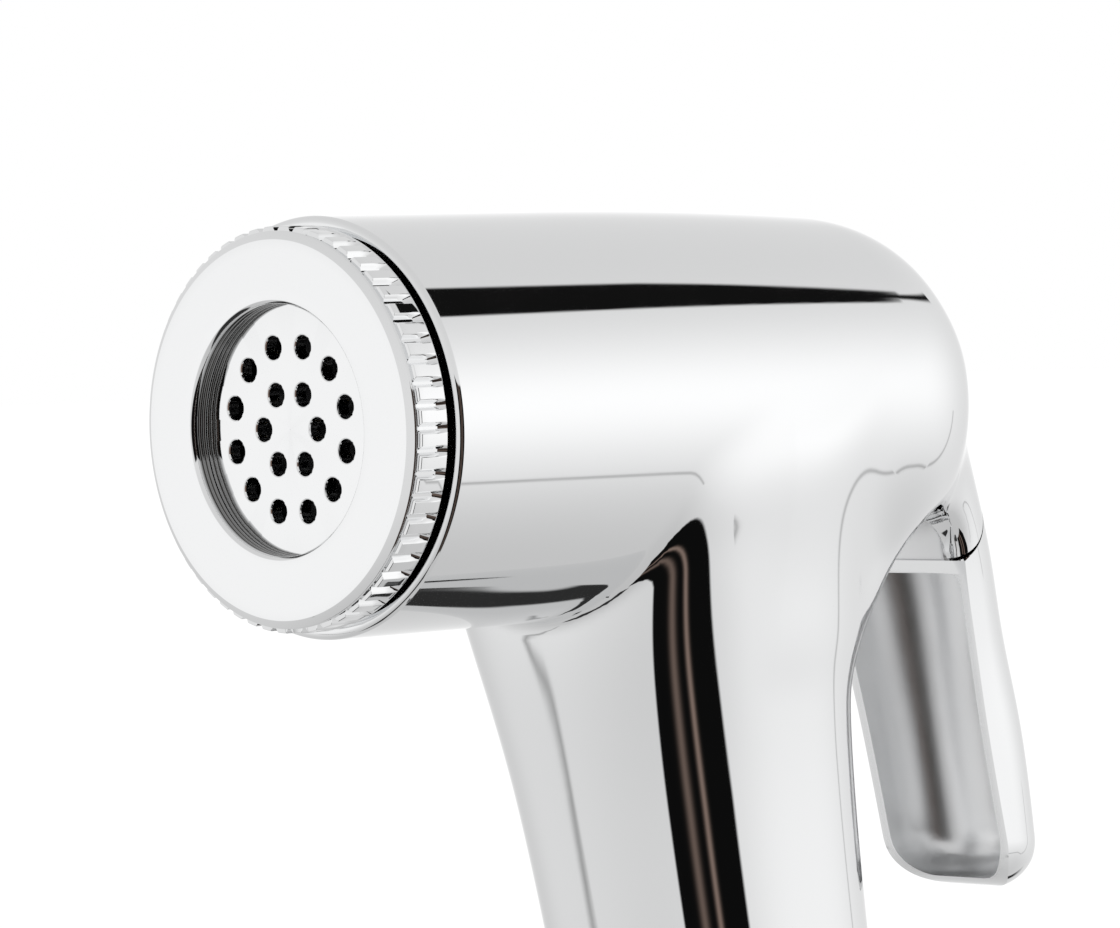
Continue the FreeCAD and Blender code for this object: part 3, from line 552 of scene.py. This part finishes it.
# Spray plate: a chrome plated disc held in the ring's recess, with twelve holes on an outer circle and six on an
# inner one. Each hole has a broken edge that catches the light.
plate_front, plate_back, plate_radius, hole_radius = 1.55, 2.75, 12.3, 0.93
plate_corners = [(plate_front, 0.001), (plate_front, plate_radius), (plate_back, plate_radius), (plate_back, 0.001)]
plate = turned_solid("spray_plate_disc", soften(plate_corners, 0.05), 192)
hole = [(plate_front - 1, 0.001), (plate_front - 1, hole_radius + 0.14), (plate_front, hole_radius + 0.14),
        (plate_front + 0.04, hole_radius + 0.05), (plate_front + 0.14, hole_radius), (plate_back + 1, hole_radius),
        (plate_back + 1, 0.001)]
holes = []
for count, circle, first in [(12, 6.77, 15), (6, 3.19, 0)]:
    for turn in np.radians(first + 360 * np.arange(count) / count):
        holes.append(turned_solid("hole_cutter", hole, 40, x=circle * np.cos(turn), z=circle * np.sin(turn)))
cut(plate, holes)
plate.data.polygons.foreach_set("use_smooth", np.ones(len(plate.data.polygons), bool))
plate.data.set_sharp_from_angle(angle=np.radians(20))
plate.data.materials.append(chrome)
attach(plate, "handset")
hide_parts("spray_plate")


# Lever: a hollow cast tray that carries on the line of the rear housing. It turns on a cross pin in the housing,
# and two tines above its hub push the valve stem back when it is squeezed. Its room and its works are unpolished.
def round_max(a, b, radius):
    """The larger of two distances, with a circular round of the given radius where they meet."""
    return np.minimum(np.maximum(a, b), -radius) + np.hypot(np.maximum(a + radius, 0), np.maximum(b + radius, 0))


def capsule_gap(y, z, a, b, radius):
    """Distance in the Y-Z plane outside a bar with round ends between two points."""
    way = np.subtract(b, a)
    t = np.clip(((y - a[0]) * way[0] + (z - a[1]) * way[1]) / (way @ way), 0, 1)
    return np.hypot(y - a[0] - t * way[0], z - a[1] - t * way[1]) - radius


lever_bottom, lever_wall, lever_round, seam_gap = -43.8, 0.9, 4.5, 0.16
rim_point, rim_way, rim_out = np.array([72.2, -14.3]), np.array([0.2193, -0.9757]), np.array([-0.9757, -0.2193])


def lever_form_gap(x, y, z):
    """Distance outside the lever's outer form: the housing's own carried on downwards and closed below."""
    form = round_max(housing_gap(x, y, z), lever_bottom - z, lever_round)
    return np.maximum(form, np.maximum(62 - y, z + 2))


def room_gap(x, y, z):
    """Distance outside the room in the lever: its form set in by the wall, up to a roof that follows the seam."""
    room = round_max(housing_gap(x, y, z) + lever_wall, lever_bottom + lever_wall - z, 3.8)
    room = soft_max(room, seam_radius + 1.3 - np.hypot(y - pivot_y, z - pivot_z), 2.0)
    return np.maximum(room, 66 - y)


def lever_gap(x, y, z):
    """Distance outside the lever's walls."""
    return np.maximum(lever_form_gap(x, y, z), -room_gap(x, y, z))


def works_gap(x, y, z):
    """Distance outside the lever's neck, hub and tines, which work inside the housing. The neck widens into a block
    that carries the tray and stays 0.3 behind its rim."""
    from_pivot = np.hypot(y - pivot_y, z - pivot_z)
    rim = rim_out[0] * (y - rim_point[0]) + rim_out[1] * (z - rim_point[1])
    inside = np.maximum(housing_gap(x, y, z) + 2.1, np.abs(x) - 6)
    block = np.maximum(np.maximum(rim + 0.3, z + 7.5), from_pivot - seam_radius - 0.8)
    neck = soft_max(soft_min(capsule_gap(y, z, (pivot_y, pivot_z), (73.5, -9.5), 2.7), block, 1.0), inside, 0.6)
    tines = soft_max(capsule_gap(y, z, (pivot_y, pivot_z), (pivot_y, 0), 1.6), np.abs(np.abs(x) - 2.95) - 1.25, 0.4)
    return soft_max(soft_min(neck, tines, 0.6), 2.15 - from_pivot, 0.3)


points, quads = cast_skin(lever_form_gap, (-19, 61, -44.6), (19, 88, -1), 0.42)
lever = new_mesh("squeeze_lever", in_row(points), quads)
points, quads = cast_skin(room_gap, (-15, 65, -43.5), (15, 87, -4), 0.4)
room = new_mesh("room_cutter", in_row(points), quads)
points, quads = cast_skin(works_gap, (-6.6, 64.5, -18.6), (6.7, 80, 2.2), 0.35)
works = new_mesh("lever_works", in_row(points), quads)

above_seam = np.vstack([arc((pivot_y, pivot_z), seam_radius + seam_gap, 0, -90, 48),
                        [(55, pivot_z - seam_radius - seam_gap), (55, 10), (100, 10), (100, pivot_z)]])
# In front of the rim: down along it, round the corner, and along just below the bottom
rim_start = rim_point - 12 * rim_way
rim_end = rim_point + rim_way * (lever_bottom - rim_point[1]) / rim_way[1]
half_turn = (np.pi - np.arccos(rim_out @ [0, -1])) / 2
corner_centre = rim_end - rim_way * lever_round / np.tan(half_turn) - rim_out * lever_round
facing = np.degrees(np.arctan2(rim_out[1], rim_out[0])) % 360
before_rim = np.vstack([[rim_start], arc(corner_centre, lever_round, facing, 270, 16),
                        [(100, lever_bottom - 0.02), (100, -60), (40, -60), (40, rim_start[1])]])
cut(lever, [side_cutter("seam_cutter", above_seam, far), side_cutter("rim_cutter", before_rim, far), room])
smooth_cast(lever, lever_gap)
smooth_cast(works, works_gap)
mark_satin(lever, lambda x, y, z: np.abs(room_gap(x, y, z)) < 0.05)
mark_satin(works, lambda x, y, z: np.ones(len(x)))
works.data.materials.append(chrome)
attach(works, "trigger")
lever.data.materials.append(chrome)
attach(lever, "trigger")
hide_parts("lever")
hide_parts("lever")


# Hose inlet: a turned and plated brass nipple in the handle's end, with a flange and a rolled G 1/2 thread that
# takes the hose's nut. Below its flange the thread starts after a short relief and ends in a chamfer.
thread_pitch, thread_height, thread_radius, root_radius = 1.814, 1.162, 10.48, 9.26
nipple_rows = [(97, 5.05), (97, 8.95), (handle_end, 8.95), (handle_end, 11.4), (108, 11.4), (108, 9.25), (109.2, 9.25),
               (109.2, thread_radius), (inlet_depth, thread_radius), (inlet_depth, 8.2), (119.5, 8.2), (119.5, 7.0),
               (108.5, 7.0), (108.5, 4.0), (106.55, 4.0), (106.55, 5.05)]
nipple_profile = fill_rows(soften(nipple_rows, 0.25), 0.16)
nipple_angle = np.linspace(0, 2 * np.pi, 120, endpoint=False)
along, radius = nipple_profile[:, :1], nipple_profile[:, 1:]
wind = 2 * np.pi * along / thread_pitch - nipple_angle
# A wave that is nearly a triangle, with round crests and roots
thread = thread_radius - thread_height / 2 * (1 - np.arcsin(0.96 * np.cos(wind)) / np.arcsin(0.96))
thread = np.maximum(np.minimum(thread, 9.3 + 0.9 * (inlet_depth - along)), root_radius)
threaded = (along > 109.0) & (along < inlet_depth) & (radius > root_radius)
radius = np.where(threaded, np.minimum(radius, thread), radius)
across = radius * np.sin(nipple_angle)
nipple_points = np.stack([radius * np.cos(nipple_angle), handle_y + along * np.sin(lean) + across * np.cos(lean),
                          -along * np.cos(lean) + across * np.sin(lean)], 2)
nipple = new_mesh("threaded_inlet", in_row(nipple_points.reshape(-1, 3)),
                  grid_faces(len(nipple_profile), len(nipple_angle), close_rows=True, close_columns=True))
nipple.data.set_sharp_from_angle(angle=np.radians(35))
nipple.data.materials.append(chrome)
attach(nipple, "handset")
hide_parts("inlet_nipple")


# The parts inside: turned brass, moulded polymer, rubber rings and stainless wire and pins. They carry the
# solids' own meshes and get their materials here.
def grain_material(name, color, metallic, roughness, scale, depth):
    """Material with mottled roughness and a fine grain in its surface, both from noise on Object coordinates."""
    material, tree, add, shader = new_material(name)
    shader.inputs["Metallic"].default_value = metallic
    place = add("ShaderNodeTexCoord")
    grain = add("ShaderNodeTexNoise", Scale=scale, Detail=4.0)
    tone = add("ShaderNodeMapRange", **{"From Min": 0.3, "From Max": 0.7, "To Min": roughness * 0.8,
                                        "To Max": roughness * 1.25})
    shade = add("ShaderNodeMix", data_type="RGBA")
    shade.inputs[6].default_value = (*[c * 0.88 for c in color], 1)
    shade.inputs[7].default_value = (*color, 1)
    bump = add("ShaderNodeBump", Strength=0.4, Distance=depth)
    tree.links.new(place.outputs["Object"], grain.inputs["Vector"])
    tree.links.new(grain.outputs[0], tone.inputs[0])
    tree.links.new(grain.outputs[0], shade.inputs[0])
    tree.links.new(shade.outputs[2], shader.inputs["Base Color"])
    tree.links.new(tone.outputs[0], shader.inputs["Roughness"])
    tree.links.new(grain.outputs[0], bump.inputs["Height"])
    tree.links.new(bump.outputs[0], shader.inputs["Normal"])
    return material


brass = grain_material("turned_brass", (0.80, 0.60, 0.30), 1.0, 0.25, 900, 0.00002)
polymer = grain_material("moulded_polymer", (0.78, 0.78, 0.76), 0.0, 0.45, 700, 0.00003)
dark_polymer = grain_material("black_polymer", (0.02, 0.02, 0.022), 0.0, 0.5, 700, 0.00003)
rubber = grain_material("black_rubber", (0.018, 0.018, 0.018), 0.0, 0.6, 1200, 0.00003)
steel = grain_material("drawn_steel", (0.60, 0.60, 0.59), 1.0, 0.22, 1500, 0.00001)
inside_finish = {
    brass: ("valve_seat", "poppet", "stem_nut"),
    polymer: ("valve_body", "lever_bush", "gland_bush", "check_cage", "check_guide", "check_poppet", "riser_tube"),
    dark_polymer: ("stream_disc",),
    rubber: ("plate_gasket", "ring_seal", "shell_o_rings", "seat_o_ring", "poppet_washer", "gland_outer_ring",
             "gland_inner_ring", "riser_upper_ring", "riser_lower_ring", "nipple_o_ring"),
    steel: ("valve_spring", "valve_stem", "pivot_pin", "filter_screen", "check_spring", "stem_washer", "poppet_screw"),
    chrome: ("pin_plug",),
}
for material, names in inside_finish.items():
    for name in names:
        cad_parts[name].data.materials.clear()
        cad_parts[name].data.materials.append(material)
